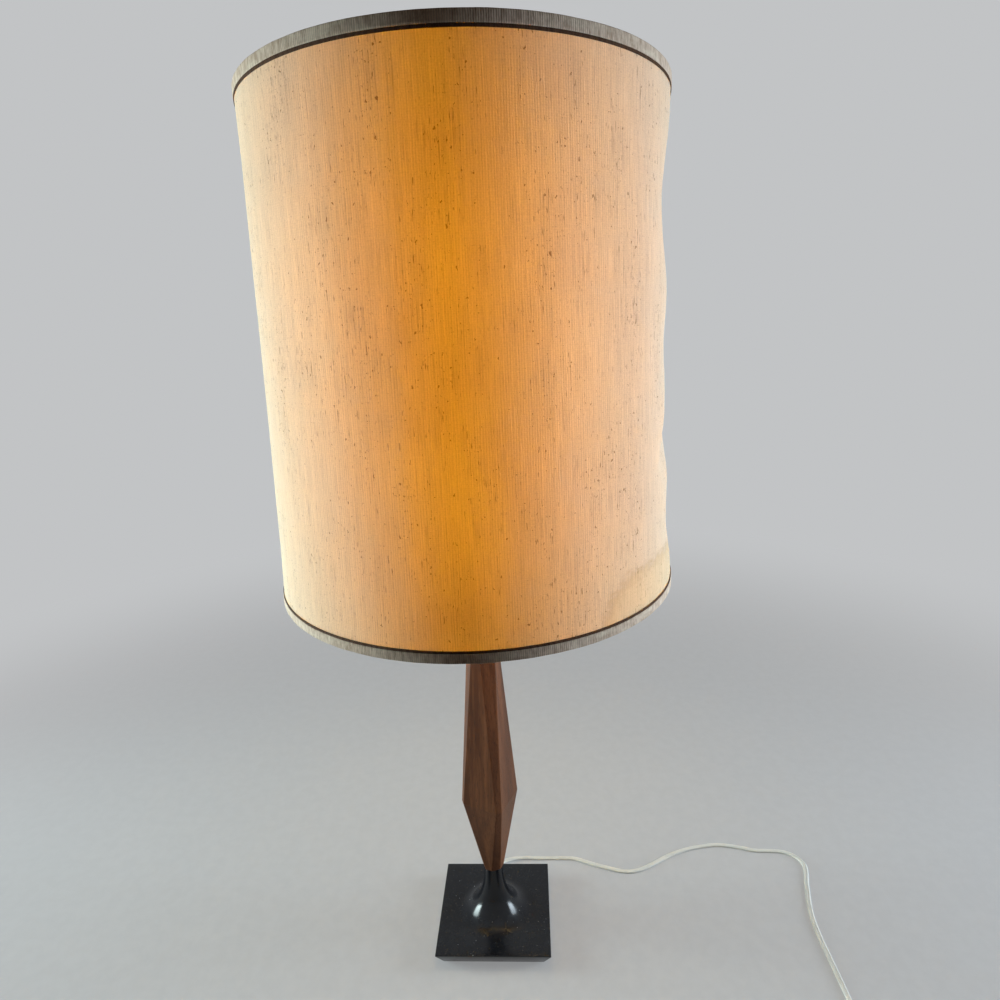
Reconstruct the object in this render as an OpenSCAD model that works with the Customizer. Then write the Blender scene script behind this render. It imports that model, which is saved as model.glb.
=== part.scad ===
// Table lamp with a tall drum shade: a square cast base that rises into a trumpet neck, a
// faceted wooden body, a through pipe, a turn-knob socket with a harp, and a slub fabric
// shade hung from a recessed spider. A flat lead leaves the back of the base and ends in a
// coil with its plug. Origin: centre of the underside of the felt. +Z is up, sizes in mm.

/* [Base] */
// Width of the square base at its top edge
base_w = 138; // [125:1:165]
// Height of the cast base plate, without the felt
base_h = 19.5; // [18:0.5:26]
// How far each side of the base slopes in towards the felt
base_inset = 9; // [2:0.5:12]
// Upright land round the top edge of the base
base_land = 1; // [0.4:0.1:2]
// Chamfer along the top edge of the base
base_chamfer = 0.5; // [0.2:0.1:0.8]
// Thickness of the felt pad
felt_t = 1.5; // [1:0.25:3]
// Distance of the felt's edge from the lower edge of the base
felt_margin = 2; // [1:0.5:6]
// Radius of the wide hollow under the plate
hollow_r = 46; // [38:1:50]
// Thickness of the plate's top over the wide hollow
plate_t = 6; // [4:0.5:8]
// Radius of the deep well for the nut
well_r = 17; // [15:0.5:19]
// How far the well rises above the top of the plate
well_rise = 9; // [6:0.5:14]

/* [Trumpet neck] */
// Radius of the neck where the wood stands on it
neck_r = 11.3; // [10:0.1:11.9]
// Radius at which the flare runs out into the plate
flare_r = 48; // [40:1:56]
// Height of the neck above the plate
neck_h = 67; // [55:0.5:80]
// How tightly the flare turns: 2 is an ellipse, more is squarer
flare_power = 2.2; // [1.8:0.1:3]

/* [Wooden body] */
// Height of the wooden body
wood_h = 350; // [300:0.5:420]
// Height of its widest place above its foot
belly_h = 102.5; // [80:0.5:150]
// Width across the four faces at the foot
face_w_foot = 24.4; // [24:0.1:30]
// Width across the four faces at the widest place
face_w_belly = 53.4; // [46:0.1:60]
// Width across the four faces at the top
face_w_top = 31.8; // [28:0.1:33]
// Width across the corner facets at the foot
corner_w_foot = 23.6; // [23.4:0.1:28]
// Width across the corner facets at the widest place
corner_w_belly = 68.8; // [60:0.1:72]
// Width across the corner facets at the top
corner_w_top = 24.4; // [23.5:0.1:26]
// How far the wooden body is turned from the square base, in degrees
wood_turn = -23.9; // [-45:0.1:45]

/* [Pipe and fastenings] */
// Outside diameter of the threaded lamp pipe
pipe_d = 10; // [9:0.1:11]
// Bore of the lamp pipe
pipe_bore = 7; // [6:0.1:7.5]
// Length of pipe that stands out below the base nut
pipe_tail = 2.5; // [1:0.5:6]
// Thickness of the base washer
washer_t = 1.5; // [1:0.1:3]
// Radius of the base washer
washer_r = 14; // [11:0.5:14.5]
// Thickness of the base nut
nut_t = 5; // [3:0.5:8]
// Width of the base nut across its flats
nut_w = 16; // [14:0.5:20]
// Thickness of the brass ring on the wood
ring_t = 3; // [2:0.5:6]
// Radius of the brass ring on the wood
ring_r = 11.5; // [10:0.1:15]
// Length of the brass tube above the ring
tube_h = 135; // [100:1:160]
// Outside radius of the brass tube
tube_r = 8; // [7:0.1:9.5]
// Wall of the brass tube
tube_wall = 1; // [0.6:0.1:1.4]
// Thickness of the brass cap on the tube
cap_t = 4; // [3:0.5:8]
// Radius of the brass cap on the tube
cap_r = 14; // [11:0.5:18]

/* [Socket] */
// Outside radius of the socket shell
shell_r = 17; // [16.5:0.1:19]
// Wall of the socket shell and of its cap
shell_wall = 0.6; // [0.4:0.1:1]
// Height of the socket shell
shell_h = 50; // [46:0.5:60]
// Height of the socket's bell-shaped cap
bell_h = 22; // [20:0.5:24]
// Wall of the paper liner in the socket
liner_wall = 0.7; // [0.4:0.1:1]
// Height of the socket's moulded inner block
block_h = 20; // [18:0.5:24]
// Height of the bulb's contact above the block
contact_h = 2; // [1.2:0.1:3]
// Height of the threaded sleeve that takes the bulb
screw_h = 27; // [22:0.5:30]
// Radius of the switch shaft
shaft_r = 2; // [1.5:0.1:2.5]
// Reach of the switch shaft from the lamp's axis
shaft_reach = 34; // [30:0.5:42]
// Radius of the switch knob
knob_r = 5.5; // [4:0.1:7]
// Length of the switch knob
knob_l = 13; // [8:0.5:16]

/* [Bulb] */
// Radius of the bulb's screw cap at the thread's crest
bulb_cap_r = 13; // [12.5:0.1:13.2]
// Pitch of the bulb's thread
thread_pitch = 3.6; // [3.2:0.1:4]
// Depth of the bulb's thread
thread_deep = 0.7; // [0.4:0.1:1]
// Height of the bulb's screw cap
bulb_cap_h = 25; // [22:0.5:27]
// Radius of the bulb's globe
globe_r = 30; // [26:0.5:34]
// Height of the glass above the screw cap
glass_h = 84; // [76:1:95]
// Thickness of the bulb's glass
glass_t = 0.8; // [0.5:0.1:1.2]

/* [Harp] */
// Height of the harp from its saddle to the spider
harp_h = 305; // [260:1:330]
// Radius of the harp wire
harp_wire_r = 1.6; // [1.2:0.1:2]
// Distance of the harp's feet from the lamp's axis
harp_foot = 29; // [27:0.5:34]
// Distance of the harp's widest place from the lamp's axis
harp_belly = 58; // [54:1:66]
// Thickness of the saddle's strip
saddle_t = 1.6; // [1.2:0.1:2.4]
// Width of the saddle's strip
saddle_w = 12; // [11.5:0.5:16]
// Height of the saddle's upturned arms
arm_h = 14; // [10:0.5:18]
// Length of the posts on the saddle's arms
post_h = 8; // [6:0.5:12]
// Length of a harp sleeve
sleeve_l = 20; // [16:0.5:26]
// Outside radius of a harp sleeve
sleeve_r = 3.4; // [2.8:0.1:4.5]
// Radius of the threaded stud on the harp
stud_r = 3.1; // [2.6:0.1:3.4]
// Length of the stud above the spider
stud_h = 13; // [10:0.5:18]
// Radius of the seat under the spider
seat_r = 9; // [7:0.5:12]
// Thickness of the seat under the spider
seat_t = 2.4; // [1.6:0.1:4]
// Height of the finial
finial_h = 26; // [20:0.5:40]
// Radius of the finial's foot
finial_r = 6.5; // [5:0.1:9]

/* [Shade] */
// Height of the shade
shade_h = 460; // [430:1:520]
// Radius of the fabric at the lower edge
shade_r_low = 204.5; // [190:0.1:220]
// Radius of the fabric at the upper edge
shade_r_top = 191.7; // [175:0.1:205]
// How far the spider hangs below the upper edge
spider_drop = 57; // [40:1:90]
// Radius of the spider's hub
hub_r = 11; // [9:0.5:14]
// Thickness of the spider's hub
hub_t = 2; // [1.6:0.1:3]
// Radius of the spider's arms
spider_arm_r = 1.75; // [1.4:0.05:2.2]
// Radius of the ring wires
ring_wire_r = 1.6; // [1.2:0.1:2]
// Thickness of the slub fabric
fabric_t = 0.6; // [0.4:0.05:1]
// Thickness of the stiff liner behind the fabric
lining_t = 0.5; // [0.4:0.05:0.8]
// Height of the edge tape on the outside
tape_h = 8.5; // [7:0.5:14]
// Thickness of the edge tape
tape_t = 0.7; // [0.5:0.05:1]
// Depth of the lower tape on the inside
tape_in_low = 8; // [5:0.5:12]
// Height of the thin ribbon beside each tape
ribbon_h = 2.5; // [2:0.1:4]
// Thickness of the thin ribbon
ribbon_t = 0.4; // [0.3:0.05:0.6]

/* [Lead] */
// Width of the flat lead
cord_w = 6; // [5:0.1:7]
// Thickness of the flat lead
cord_t = 3.2; // [2.6:0.1:4]
// Height of the cord hole above the underside
exit_h = 9; // [8:0.5:10]
// Radius of the cord hole
hole_r = 4.7; // [4:0.1:5.2]
// Length of the tapered relief outside the base
relief_out = 8; // [6:0.5:10]
// Radius of the relief at its outer end
relief_tip_r = 3.8; // [3.6:0.1:4.4]
// Thickness of the relief's inner flange
relief_flange = 3; // [2:0.5:4]
// Diameter of each insulated wire in the lamp
wire_d = 2.8; // [2.2:0.1:3]
// Thickness of the strap round the coil
strap_t = 0.8; // [0.6:0.1:1.2]
// Width of the strap round the coil
strap_w = 9; // [6:0.5:14]
// Length of the plug's body
plug_l = 30; // [26:0.5:36]
// Width of the plug's body
plug_w = 24; // [21:0.5:28]
// Thickness of the plug's body
plug_t = 18; // [14:0.5:20]
// Length of the plug's blades outside the body
blade_l = 16; // [14:0.5:18]

/* [Clearances] */
// Radial clearance of pieces that only pass over the pipe
pass_gap = 0.3; // [0.2:0.05:0.5]
// Radial clearance of threads and turning fits
turn_gap = 0.05; // [0.02:0.01:0.1]
// Clearance between layers and beside soft pieces
layer_gap = 0.3; // [0.1:0.05:0.5]

/* [Hidden] */
$fn = 64;
eps = 0.01;
cut = 1;

// Heights, from the table up
z_plate = felt_t + base_h;
z_neck = z_plate + neck_h;
z_wood = z_neck + wood_h;
z_tube = z_wood + ring_t;
z_cap = z_tube + tube_h;
z_saddle = z_cap + cap_t;
z_bell = z_saddle + saddle_t;
z_hub = z_saddle + harp_h;
z_shade_top = z_hub + spider_drop;
z_shade_low = z_shade_top - shade_h;

// Base
pipe_r = pipe_d / 2;
z_well = z_plate + well_rise;
z_hollow = z_plate - plate_t;
z_nut = z_well - washer_t - nut_t;
z_pipe = z_nut - pipe_tail;
foot_half = base_w / 2 - base_inset;
flare_steps = 24;

// Socket
hub_h = 8;
z_pipe_top = z_bell + hub_h;
bell_wall_r = shell_r + shell_wall + turn_gap;
z_shell = z_bell + bell_h - 4;
z_block = z_pipe_top + 6;
block_r = shell_r - shell_wall - liner_wall - 3 * layer_gap - 0.4;
z_block_top = z_block + block_h;
z_shaft = z_bell + bell_h + shaft_r + 2;
notch_w = 2 * shaft_r + 2;
screw_wall = 0.4;
screw_out_r = bulb_cap_r + turn_gap + screw_wall;
terminal_z = z_block + 6;
terminal_head_r = 2.2;
terminal_t = 0.8;

// Bulb
z_bulb = z_block_top + contact_h;
z_glass = z_bulb + bulb_cap_h;
glass_neck_r = bulb_cap_r - thread_deep - 0.5;
z_globe = z_glass + glass_h - globe_r;
stem_h = 34;
stem_r = 4.5;
filament_w = 24;

// Harp
z_post = z_saddle + arm_h;
z_foot = z_post + post_h;
sleeve_travel = 12;
z_curve = z_post + sleeve_l + sleeve_travel + 6;
yoke_x = 4;
yoke_h = 4.4;
foot_step = 0.15;
z_seat = z_hub - turn_gap;
z_yoke = z_seat - seat_t - yoke_h;

// Shade, outwards from the frame
z_tape_top = z_shade_top - tape_t - layer_gap;
z_tape_low = z_shade_low + tape_t + layer_gap;
z_ring_top = z_tape_top - ring_wire_r;
z_ring_low = z_tape_low + ring_wire_r;
lining_in = fabric_t + turn_gap + lining_t;
arm_count = 3;
weld = 0.6;

// Lead: the route of its centre from the relief to the coil, and from the coil to the plug
exit_wall = base_w / 2 - base_inset * (z_plate - exit_h) / base_h;
relief_end = exit_wall + relief_out;
flat = cord_t / cord_w;
LEAD = [[0, relief_end, exit_h], [0, relief_end + 3, exit_h], [2, 82, 8.2], [8, 88, 6.9],
    [16, 93, 5.2], [27, 97, 3.6],
    [40, 99, 2.3], [57, 99, 1.6], [75, 99, 1.6], [91, 99, 1.6], [107, 98, 1.6],
    [121, 93, 1.6], [136, 87, 1.6], [151, 82, 1.6], [167, 77, 1.6], [182, 75, 1.6],
    [196, 78, 1.6], [209, 84, 1.6], [224, 93, 1.6], [239, 102, 1.6], [256, 110, 1.6],
    [273, 116, 1.6], [290, 120, 1.6], [309, 123, 1.6], [327, 122, 1.6], [346, 118, 1.6],
    [364, 113, 1.6], [382, 112, 1.6], [398, 111, 1.6], [412, 106, 1.6], [421, 97, 1.6],
    [424, 85, 1.6], [421, 72, 1.6], [416, 58, 1.6], [411, 42, 1.6], [406, 25, 1.6],
    [402, 8, 1.6], [400, -9, 1.6], [399, -26, 1.6], [399, -43, 1.6], [399, -60, 1.6],
    [399, -78, 1.6], [399, -96, 1.6], [399, -114, 1.7], [399, -132, 2.1], [399, -148, 2.4],
    [399, -158, 2.4]];
TAIL = [[345, -198, 5.6], [335, -198, 5.6], [324, -198, 5.3], [314, -198, 5],
    [308, -198, 5]];
cord_sides = 8;
coil_at = [357, -165];
coil_r = 33;
low_half = 2 * cord_w;
top_half = cord_w;
coil_step = strap_t + cord_t;
coil_top = coil_step + cord_t;
strap_angle = 60;
plug_x = 270;
plug_y = -198;
collar_l = 8;
blade_pitch = 12.7;
blade_w = 6.4;
blade_t = 1.5;
blade_seat = 8;

BRASS = [0.72, 0.55, 0.28];
STEEL = [0.62, 0.62, 0.60];
BLACK = [0.07, 0.07, 0.08];
WALNUT = [0.30, 0.18, 0.12];
IVORY = [0.90, 0.89, 0.85];
SLUB = [0.86, 0.72, 0.50];
TAPE = [0.60, 0.53, 0.44];
BROWN = [0.28, 0.18, 0.12];

// Solid skinned over rings of points, each ring counter-clockwise seen from the next one
module skin(rings) {
    n = len(rings[0]);
    last = len(rings) - 1;
    sides = [for (k = [0:last - 1], i = [0:n - 1])
        [k * n + i, (k + 1) * n + i, (k + 1) * n + (i + 1) % n, k * n + (i + 1) % n]];
    low_cap = [for (i = [0:n - 1]) i];
    high_cap = [for (i = [n - 1:-1:0]) last * n + i];
    polyhedron(points = [for (r = rings) each r], faces = concat(sides, [low_cap, high_cap]));
}

function unit(v) = v / norm(v);
function heading(path, i) =
    unit(path[min(i + 1, len(path) - 1)] - path[max(i - 1, 0)]);
// Ring round a point of a path, flattened by a ratio towards up, a direction that the path
// never takes
function ring_at(p, dir, up, r, n, ratio) =
    let (side = unit(cross(dir, up)), top = ratio * cross(dir, side))
    [for (i = [0:n - 1]) p + r * (cos(360 * i / n) * side + sin(360 * i / n) * top)];
function bezier(a, b, c, d, t) =
    a * pow(1 - t, 3) + 3 * b * t * pow(1 - t, 2) + 3 * c * t * t * (1 - t) + d * pow(t, 3);

module sweep(path, r, n, ratio = 1, up = [0, 0, 1]) {
    skin([for (i = [0:len(path) - 1]) ring_at(path[i], heading(path, i), up, r, n, ratio)]);
}

module tube(r_out, r_in, h) {
    difference() {
        cylinder(r = r_out, h = h);
        translate([0, 0, -cut]) cylinder(r = r_in, h = h + 2 * cut);
    }
}

function square_ring(half, z) =
    [[-half, -half, z], [half, -half, z], [half, half, z], [-half, half, z]];
function flare_at(u) =
    flare_r - (flare_r - neck_r) * pow(max(0, 1 - pow(u, flare_power)), 1 / flare_power);

module felt_pad() {
    half = foot_half - felt_margin;
    color([0.10, 0.11, 0.10])
    translate([-half, -half, 0]) cube([2 * half, 2 * half, felt_t]);
}

module base_casting() {
    half = base_w / 2;
    z_land = z_plate - base_chamfer - base_land;
    color(BLACK)
    difference() {
        union() {
            skin([square_ring(foot_half, felt_t), square_ring(half, z_land),
                square_ring(half, z_plate - base_chamfer),
                square_ring(half - base_chamfer, z_plate)]);
            rotate_extrude($fn = 96)
            polygon(concat([[0, z_plate - 1], [flare_r, z_plate - 1]],
                [for (i = [flare_steps:-1:0])
                    let (u = sin(90 * i / flare_steps)) [flare_at(u), z_neck - neck_h * u]],
                [[0, z_neck]]));
        }
        translate([0, 0, felt_t - cut]) cylinder(r = hollow_r, h = z_hollow - felt_t + cut, $fn = 96);
        translate([0, 0, felt_t - cut]) cylinder(r = well_r, h = z_well - felt_t + cut);
        cylinder(r = pipe_r + pass_gap, h = z_neck + cut);
        translate([0, 0, exit_h]) rotate([-90, 0, 0]) cylinder(r = hole_r, h = base_w);
    }
}

module base_washer() {
    color(STEEL)
    translate([0, 0, z_well - washer_t]) tube(washer_r, pipe_r + pass_gap, washer_t);
}

module base_nut() {
    color(STEEL)
    translate([0, 0, z_nut]) difference() {
        cylinder(d = nut_w / cos(30), h = nut_t, $fn = 6);
        translate([0, 0, -cut]) cylinder(r = pipe_r + turn_gap, h = nut_t + 2 * cut);
    }
}

module lamp_pipe() {
    color(STEEL)
    translate([0, 0, z_pipe]) tube(pipe_r, pipe_bore / 2, z_pipe_top - z_pipe);
}

// Eight-sided ring: four faces at face_w across and four corner facets at corner_w across
function facet_ring(face_w, corner_w, z) =
    let (a = face_w / 2, w = corner_w / sqrt(2) - a)
    [for (k = [0:3], s = [-1, 1])
        let (t = wood_turn + 90 * k) [a * cos(t) - s * w * sin(t), a * sin(t) + s * w * cos(t), z]];

module wood_body() {
    color(WALNUT)
    difference() {
        skin([facet_ring(face_w_foot, corner_w_foot, z_neck),
            facet_ring(face_w_belly, corner_w_belly, z_neck + belly_h),
            facet_ring(face_w_top, corner_w_top, z_wood)]);
        translate([0, 0, z_neck - cut]) cylinder(r = pipe_r + pass_gap, h = wood_h + 2 * cut);
    }
}

module wood_ring() {
    color(BRASS)
    translate([0, 0, z_wood]) tube(ring_r, pipe_r + pass_gap, ring_t);
}

module neck_tube() {
    color(BRASS)
    translate([0, 0, z_tube]) tube(tube_r, tube_r - tube_wall, tube_h);
}

module neck_cap() {
    bevel = cap_t / 4;
    color(BRASS)
    rotate_extrude()
    polygon([[pipe_r + pass_gap, z_cap], [cap_r - bevel, z_cap], [cap_r, z_cap + bevel],
        [cap_r, z_saddle - bevel], [cap_r - bevel, z_saddle], [pipe_r + pass_gap, z_saddle]]);
}

module harp_saddle() {
    color(BRASS)
    difference() {
        union() {
            translate([-harp_foot - saddle_t / 2, -saddle_w / 2, z_saddle])
            cube([2 * harp_foot + saddle_t, saddle_w, saddle_t]);
            for (s = [-1, 1]) {
                translate([s * harp_foot - saddle_t / 2, -saddle_w / 3, z_saddle])
                cube([saddle_t, saddle_w * 2 / 3, arm_h]);
                translate([s * harp_foot, 0, z_post - 4])
                cylinder(r = harp_wire_r, h = post_h + 4, $fn = 32);
            }
        }
        translate([0, 0, z_saddle - cut]) cylinder(r = pipe_r + pass_gap, h = saddle_t + 2 * cut);
    }
}

// Half outline of the bell at a distance in from its outer face
function bell_side(inset) = [
    [shell_r - 9 - inset, z_bell + 4 + inset / 2], [shell_r - 3 - inset, z_bell + 7 + inset / 2],
    [bell_wall_r - inset, z_bell + 13], [bell_wall_r - inset, z_bell + bell_h]];

module socket_cap() {
    inner = bell_side(shell_wall);
    bore = pipe_r + turn_gap;
    color(BRASS)
    rotate_extrude()
    polygon(concat([[bore, z_bell], [shell_r - 9, z_bell]], bell_side(0),
        [for (i = [3:-1:0]) [inner[i].x, i == 3 ? inner[i].y : inner[i].y + shell_wall]],
        [[bore, z_bell + 4 + 2 * shell_wall]]));
}

module knob_notch(r) {
    translate([-notch_w / 2, -r - cut, z_shell - cut])
    cube([notch_w, r + cut, z_shaft - z_shell + cut]);
    translate([0, 0, z_shaft]) rotate([90, 0, 0]) cylinder(d = notch_w, h = r + cut, $fn = 32);
}

module socket_shell() {
    color(BRASS)
    difference() {
        union() {
            translate([0, 0, z_shell]) tube(shell_r, shell_r - shell_wall, shell_h);
            translate([0, 0, z_shell + shell_h - 1.5])
            tube(shell_r + 0.5, shell_r - shell_wall, 1.5);
        }
        knob_notch(shell_r);
    }
}

module socket_liner() {
    r_out = shell_r - shell_wall - layer_gap;
    color([0.55, 0.42, 0.30])
    difference() {
        translate([0, 0, z_shell]) tube(r_out, r_out - liner_wall, shell_h - 2);
        knob_notch(shell_r);
    }
}

module socket_block() {
    color([0.16, 0.12, 0.10])
    difference() {
        union() {
            translate([0, 0, z_block]) cylinder(r = block_r, h = block_h);
            translate([0, 0, z_pipe_top]) tube(pipe_r, pipe_bore / 2, z_block - z_pipe_top + eps);
        }
        translate([0, 0, z_shaft]) rotate([90, 0, 0])
        cylinder(r = shaft_r + turn_gap, h = block_r + cut);
        translate([0, 0, z_pipe_top - cut])
        cylinder(r = pipe_bore / 2, h = terminal_z - z_pipe_top + cut);
        for (s = [-1, 1]) {
            translate([0, 0, terminal_z]) rotate([0, s * 90, 0])
            cylinder(d = wire_d + 0.4, h = block_r + cut);
        }
    }
}

module terminal_screws() {
    color(BRASS)
    for (s = [-1, 1]) {
        translate([0, 0, terminal_z + wire_d / 2 + 3]) rotate([0, s * 90, 0]) difference() {
            translate([0, 0, block_r]) cylinder(r = terminal_head_r, h = terminal_t);
            translate([-0.4, -terminal_head_r - cut, block_r + terminal_t / 2])
            cube([0.8, 2 * terminal_head_r + 2 * cut, terminal_t]);
        }
    }
}

module centre_contact() {
    color(BRASS)
    translate([0, 0, z_block_top]) cylinder(r = 4, h = contact_h - turn_gap);
}

// Radius of the bulb's thread at a height above the contact
function thread_r(h) = bulb_cap_r - thread_deep / 2 + thread_deep / 2 * cos(360 * h / thread_pitch);
thread_low = 6;
thread_steps = 36;
thread_span = bulb_cap_h - thread_low - 2;
function thread_side(grow) = [for (i = [0:thread_steps])
    let (h = thread_low + thread_span * i / thread_steps) [thread_r(h) + grow, z_bulb + h]];

module screw_shell() {
    inner = thread_side(turn_gap);
    top = z_block_top + screw_h;
    color([0.80, 0.80, 0.78])
    rotate_extrude()
    polygon(concat([[bulb_cap_r - 1, z_block_top], [screw_out_r, z_block_top], [screw_out_r, top],
        [bulb_cap_r + turn_gap, top]],
        [for (i = [thread_steps:-1:0]) inner[i]],
        [[inner[0].x, z_block_top + 1], [bulb_cap_r - 1, z_block_top + 1]]));
}

module switch_knob() {
    color([0.12, 0.09, 0.07])
    translate([0, 0, z_shaft]) rotate([90, 0, 0]) {
        translate([0, 0, 5]) cylinder(r = shaft_r, h = shaft_reach - 5 - knob_l / 2, $fn = 32);
        translate([0, 0, shaft_reach - knob_l]) intersection() {
            cylinder(r = knob_r, h = knob_l);
            union() {
                cylinder(r = knob_r * 0.62, h = knob_l);
                translate([-knob_r, -knob_r * 0.38, 0]) cube([2 * knob_r, knob_r * 0.76, knob_l]);
            }
        }
    }
}

module lead_wires() {
    bend = 12;
    start = hollow_r - relief_flange;
    r = wire_d / 2;
    x = r + 0.1;
    color(IVORY)
    for (s = [-1, 1]) {
        translate([s * x, bend, exit_h]) rotate([-90, 0, 0]) cylinder(r = r, h = start - bend, $fn = 32);
        translate([s * x, bend, exit_h + bend]) rotate([90, 0, 90]) rotate([0, 0, 180])
        rotate_extrude(angle = 90) translate([bend, 0]) circle(r = r, $fn = 32);
        translate([s * x, 0, exit_h + bend]) cylinder(r = r, h = terminal_z - exit_h - bend, $fn = 32);
        translate([s * x, 0, terminal_z]) sphere(r = r, $fn = 32);
        translate([s * x, 0, terminal_z]) rotate([0, s * 90, 0]) cylinder(r = r, h = block_r - x, $fn = 32);
    }
}

module bulb_cap() {
    side = thread_side(0);
    color([0.78, 0.78, 0.76])
    rotate_extrude()
    polygon(concat([[0, z_bulb], [4, z_bulb], [5, z_bulb + 1.5], [bulb_cap_r - 2.5, z_bulb + 3]],
        [[side[0].x, side[0].y - 1]], side,
        [[side[thread_steps].x, z_glass], [0, z_glass]]));
}

// Outline of the glass: a neck that swells into a round globe, drawn in by an inset
function glass_side(inset) = let (
    neck = glass_neck_r - inset, globe = globe_r - inset, join = 35,
    low = [neck, z_glass], knee = [globe * cos(join), z_globe - globe * sin(join)],
    c1 = [neck, z_glass + 14], c2 = knee - 18 * [sin(join), cos(join)])
    concat([for (t = [0:0.1:0.95]) bezier(low, c1, c2, knee, t)],
        [for (a = [-join:5:85]) [globe * cos(a), z_globe + globe * sin(a)]],
        [[0, z_globe + globe]]);

module bulb_glass() {
    inner = glass_side(glass_t);
    last = len(inner) - 1;
    color([0.95, 0.93, 0.86, 0.6])
    rotate_extrude()
    polygon(concat(glass_side(0), [for (i = [last:-1:0]) inner[i]]));
}

module bulb_stem() {
    color([0.85, 0.90, 0.90, 0.5])
    rotate_extrude()
    polygon([[0, z_glass], [glass_neck_r - glass_t - layer_gap, z_glass],
        [stem_r + 1, z_glass + 6], [stem_r, z_glass + 12], [stem_r - 1.5, z_glass + stem_h],
        [0, z_glass + stem_h]]);
}

module bulb_filament() {
    lead_r = 0.4;
    low = z_glass + stem_h + turn_gap;
    rise = 18;
    lean = atan(filament_w / 2 / rise);
    color([0.55, 0.55, 0.55])
    union() {
        translate([0, 0, low]) cylinder(r = lead_r, h = rise, $fn = 16);
        for (s = [-1, 1]) {
            translate([0, 0, low + lead_r]) rotate([0, s * lean, 0])
            cylinder(r = lead_r, h = rise / cos(lean), $fn = 16);
        }
        translate([-filament_w / 2, 0, low + rise]) rotate([0, 90, 0])
        cylinder(r = 0.9, h = filament_w, $fn = 24);
    }
}

// Centre of one side of the harp: out from the foot, past the widest place, in to the yoke
function harp_path(s) = let (
    foot = [s * harp_foot, 0, z_curve], wide = [s * harp_belly, 0, (z_curve + z_yoke) / 2],
    top = [s * yoke_x, 0, z_yoke + yoke_h / 2])
    concat([foot - [0, 0, 3]],
        [for (i = [0:15]) bezier(foot, foot + [0, 0, 45], wide - [0, 0, 60], wide, i / 16)],
        [for (i = [0:18]) bezier(wide, wide + [0, 0, 70], top + [s * 30, 0, 0], top, i / 18)]);

module harp() {
    color(BRASS)
    union() {
        for (s = [-1, 1]) {
            translate([s * harp_foot, 0, z_foot])
            cylinder(r = harp_wire_r, h = z_curve - z_foot, $fn = 32);
            sweep(harp_path(s), harp_wire_r + foot_step, 12, up = [0, 1, 0]);
        }
        translate([0, 0, z_yoke]) cylinder(r = seat_r - 2, h = yoke_h + eps);
        translate([0, 0, z_yoke + yoke_h]) cylinder(r = seat_r, h = seat_t);
        translate([0, 0, z_yoke + yoke_h])
        cylinder(r = stud_r, h = seat_t + stud_h + turn_gap, $fn = 48);
    }
}

module harp_sleeve(s) {
    low = z_post + turn_gap;
    bore = harp_wire_r + turn_gap;
    edge = 0.8;
    color(BRASS)
    translate([s * harp_foot, 0, 0]) rotate_extrude($fn = 48)
    polygon([[bore, low], [sleeve_r - edge, low], [sleeve_r, low + edge],
        [sleeve_r, low + sleeve_l * 0.7], [sleeve_r - edge, low + sleeve_l], [bore, low + sleeve_l]]);
}

module harp_sleeve_left() {
    harp_sleeve(-1);
}

module harp_sleeve_right() {
    harp_sleeve(1);
}

module finial() {
    z0 = z_hub + hub_t + turn_gap;
    bore = stud_r + turn_gap;
    deep = stud_h - hub_t + 1;
    color(BRASS)
    rotate_extrude()
    polygon(concat([[bore, z0], [finial_r, z0], [finial_r, z0 + 2], [finial_r * 0.72, z0 + 4],
        [finial_r * 0.72, z0 + 7]],
        [for (a = [-60:10:80]) [finial_r * 1.15 * cos(a), z0 + finial_h * 0.6 + finial_h * 0.36 * sin(a)]],
        [[0, z0 + finial_h], [0, z0 + deep], [bore, z0 + deep]]));
}

// Radius of the outer face of the fabric at a height
function shade_r(z) = shade_r_low + (shade_r_top - shade_r_low) * (z - z_shade_low) / shade_h;
function wire_ring_r(z) = shade_r(z) - lining_in - turn_gap - ring_wire_r;

// Band of the shade's cone between two heights and two distances from the fabric's face
module shade_band(z0, z1, out, inset) {
    rotate_extrude($fn = 180)
    polygon([[shade_r(z0) + out, z0], [shade_r(z1) + out, z1], [shade_r(z1) - inset, z1],
        [shade_r(z0) - inset, z0]]);
}

module wire_ring(z) {
    rotate_extrude($fn = 180) translate([wire_ring_r(z), z]) circle(r = ring_wire_r, $fn = 32);
}

module spider_frame() {
    z_in = z_hub + hub_t / 2;
    r_in = hub_r - 2;
    z_out = z_ring_top - ring_wire_r - spider_arm_r + weld;
    r_out = wire_ring_r(z_ring_top);
    run = r_out - r_in;
    rise = z_out - z_in;
    color(STEEL)
    difference() {
        union() {
            translate([0, 0, z_hub]) cylinder(r = hub_r, h = hub_t);
            for (k = [0:arm_count - 1]) {
                rotate([0, 0, 90 + 360 * k / arm_count]) translate([r_in, 0, z_in])
                rotate([0, 90 - atan(rise / run), 0])
                cylinder(r = spider_arm_r, h = norm([run, rise]), $fn = 32);
            }
            wire_ring(z_ring_top);
        }
        translate([0, 0, z_hub - cut]) cylinder(r = stud_r + 2 * turn_gap, h = hub_t + 2 * cut);
        translate([0, 0, z_hub - spider_arm_r - cut]) cylinder(r = hub_r + cut, h = spider_arm_r + cut);
        translate([0, 0, z_hub + hub_t])
        cylinder(r = finial_r + 1, h = spider_arm_r + cut);
    }
}

module shade_bottom_ring() {
    color(STEEL)
    wire_ring(z_ring_low);
}

module shade_liner() {
    color([0.93, 0.90, 0.82])
    shade_band(z_tape_low, z_tape_top, -fabric_t - turn_gap, lining_in);
}

module shade_fabric() {
    color(SLUB)
    shade_band(z_tape_low, z_tape_top, 0, fabric_t);
}

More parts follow.
